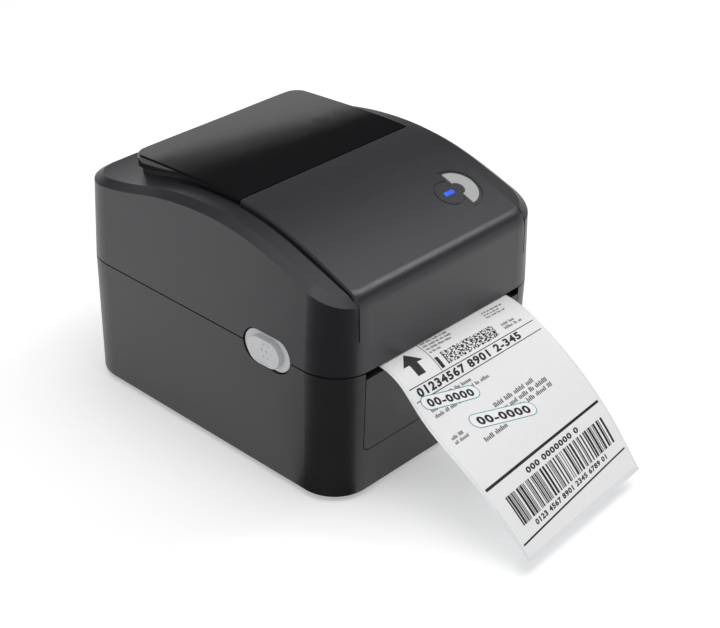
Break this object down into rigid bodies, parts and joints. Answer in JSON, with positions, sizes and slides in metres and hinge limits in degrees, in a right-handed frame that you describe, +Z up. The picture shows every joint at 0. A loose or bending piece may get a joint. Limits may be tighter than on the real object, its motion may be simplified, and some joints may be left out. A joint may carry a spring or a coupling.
{
  "type": "thermal label printer",
  "caption": "Desktop direct-thermal label printer: rounded dark clamshell body, rear-hinged cover, roll bay, feed button, side release buttons and a printed label at the front exit.",
  "frame": {"origin": "on the table plane, under the centre of the body", "axes": "-Y is the front, where the label comes out; +Z is up; +X is to the right seen from the front"},
  "size_m": [0.1748, 0.3155, 0.1494],
  "materials": {
    "housing_plastic": "satin fine-textured dark grey moulding",
    "smoked_plate": "glossy smoked panel",
    "release_plastic": "satin light grey",
    "feed_plastic": "satin grey",
    "status_light": "translucent blue",
    "bay_plastic": "matt near-black moulding",
    "guide_plastic": "matt dark grey",
    "switch_plastic": "gloss black",
    "foot_rubber": "soft matt black",
    "platen_rubber": "ground matt rubber",
    "sheet_steel": "zinc-plated sheet",
    "blade_steel": "ground stainless edge",
    "turned_steel": "bright turned steel",
    "spring_steel": "drawn spring wire",
    "screw_steel": "black zinc",
    "spacer_brass": "turned brass",
    "motor_can": "plated steel can",
    "gear_nylon": "natural nylon",
    "hook_plastic": "grey acetal",
    "circuit_board": "green solder mask",
    "component_black": "moulded epoxy",
    "ribbon": "flat ribbon cable",
    "head_ceramic": "glazed ceramic strip",
    "head_aluminium": "extruded, clear anodised",
    "label_paper": "matt white label face",
    "liner_paper": "glazed release liner",
    "roll_paper": "wound labels on liner",
    "core_card": "spiral-wound card"
  },
  "bodies": {
    "base": {"lower_housing": "housing_plastic", "bottom_cover": "housing_plastic", "bottom_screws": "screw_steel", "rubber_feet": "foot_rubber", "front_panel": "housing_plastic", "rear_panel": "housing_plastic", "hinge_pins": "turned_steel", "media_tray": "bay_plastic", "tray_screws": "screw_steel", "gap_sensor": "bay_plastic", "latch_pins": "turned_steel", "platen_frame": "sheet_steel", "frame_spacers": "spacer_brass", "frame_screws": "screw_steel", "platen_bushes": "gear_nylon", "idler_axle": "turned_steel", "stepper_motor": "motor_can", "motor_screws": "screw_steel", "pinion_pin": "turned_steel", "main_board": "circuit_board", "board_components": "component_black", "board_screws": "screw_steel", "usb_port": "blade_steel", "power_inlet": "bay_plastic", "switch_housing": "bay_plastic", "label_web": "liner_paper", "printed_label": "label_paper"},
    "cover": {"upper_cover": "housing_plastic", "view_window": "smoked_plate", "light_pipe": "status_light", "button_board": "circuit_board", "head_bracket": "sheet_steel", "head_screws": "screw_steel", "head_springs": "spring_steel", "head_cable": "ribbon", "tear_bar": "blade_steel", "catch_plate_left": "sheet_steel", "catch_plate_right": "sheet_steel"},
    "print_head": {"print_head": "head_ceramic", "head_heatsink": "head_aluminium"},
    "feed_button": {"feed_button": "feed_plastic"},
    "latch_button_left": {"latch_button_left": "release_plastic"},
    "latch_button_right": {"latch_button_right": "release_plastic"},
    "latch_hook_left": {"latch_hook_left": "hook_plastic", "latch_spring_left": "spring_steel"},
    "latch_hook_right": {"latch_hook_right": "hook_plastic", "latch_spring_right": "spring_steel"},
    "platen": {"platen_shaft": "turned_steel", "platen_roller": "platen_rubber", "platen_gear": "gear_nylon"},
    "idler": {"idler_gear": "gear_nylon"},
    "motor_rotor": {"motor_shaft": "turned_steel", "motor_pinion": "spacer_brass"},
    "roll": {"label_roll": "roll_paper", "roll_core": "core_card"},
    "guide_left": {"media_guide_left": "guide_plastic"},
    "guide_right": {"media_guide_right": "guide_plastic"},
    "guide_pinion": {"guide_pinion": "gear_nylon"},
    "power_rocker": {"power_rocker": "switch_plastic"}
  },
  "joints": [
    {"name": "cover_hinge", "type": "hinge", "parent": "base", "child": "cover", "pos_m": [0, 0.102, 0.086], "axis": [-1, 0, 0], "range_deg": [0, 85]},
    {"name": "head_press", "type": "slide", "parent": "cover", "child": "print_head", "axis": [0, 0, 1], "range_m": [0, 0.001], "stiffness_N_per_m": 5000, "springref_m": -0.001, "deforming": ["head_springs"]},
    {"name": "feed_button_press", "type": "slide", "parent": "cover", "child": "feed_button", "axis": [0, 0.3366, -0.9416], "range_m": [0, 0.0008], "stiffness_N_per_m": 600, "springref_m": -0.001},
    {"name": "latch_left_press", "type": "slide", "parent": "base", "child": "latch_button_left", "axis": [1, 0, 0], "range_m": [0, 0.0032], "stiffness_N_per_m": 800, "springref_m": -0.002},
    {"name": "latch_right_press", "type": "slide", "parent": "base", "child": "latch_button_right", "axis": [-1, 0, 0], "range_m": [0, 0.0032], "stiffness_N_per_m": 800, "springref_m": -0.002},
    {"name": "latch_hook_left_turn", "type": "hinge", "parent": "base", "child": "latch_hook_left", "pos_m": [-0.071, -0.0517, 0.062], "axis": [0, 1, 0], "range_deg": [0, 10.3]},
    {"name": "latch_hook_right_turn", "type": "hinge", "parent": "base", "child": "latch_hook_right", "pos_m": [0.071, -0.0517, 0.062], "axis": [0, -1, 0], "range_deg": [0, 10.3]},
    {"name": "platen_spin", "type": "hinge", "parent": "base", "child": "platen", "pos_m": [0, -0.088, 0.072], "axis": [1, 0, 0], "continuous": true},
    {"name": "idler_spin", "type": "hinge", "parent": "base", "child": "idler", "pos_m": [0, -0.07613, 0.04887], "axis": [1, 0, 0], "continuous": true},
    {"name": "motor_spin", "type": "hinge", "parent": "base", "child": "motor_rotor", "pos_m": [0, -0.056, 0.04], "axis": [1, 0, 0], "continuous": true},
    {"name": "roll_spin", "type": "hinge", "parent": "base", "child": "roll", "pos_m": [0, 0.024, 0.064], "axis": [1, 0, 0], "continuous": true},
    {"name": "guide_left_slide", "type": "slide", "parent": "base", "child": "guide_left", "axis": [-1, 0, 0], "range_m": [0, 0.0065]},
    {"name": "guide_right_slide", "type": "slide", "parent": "base", "child": "guide_right", "axis": [1, 0, 0], "range_m": [0, 0.0065]},
    {"name": "guide_pinion_turn", "type": "hinge", "parent": "base", "child": "guide_pinion", "pos_m": [0, 0.024, 0.0078], "axis": [0, 0, -1], "range_deg": [0, 62.2]},
    {"name": "power_switch", "type": "hinge", "parent": "base", "child": "power_rocker", "pos_m": [0.043, 0.103, 0.034], "axis": [0, 0, -1], "range_deg": [0, 15]}
  ],
  "couplings": [
    {"joint": "latch_hook_left_turn", "follows": "latch_left_press", "rad_per_m": 55.556},
    {"joint": "latch_hook_right_turn", "follows": "latch_right_press", "rad_per_m": 55.556},
    {"joint": "idler_spin", "follows": "platen_spin", "ratio": -0.625},
    {"joint": "motor_spin", "follows": "platen_spin", "ratio": 1.6667},
    {"joint": "guide_right_slide", "follows": "guide_left_slide", "ratio": 1},
    {"joint": "guide_pinion_turn", "follows": "guide_left_slide", "rad_per_m": 166.67}
  ]
}
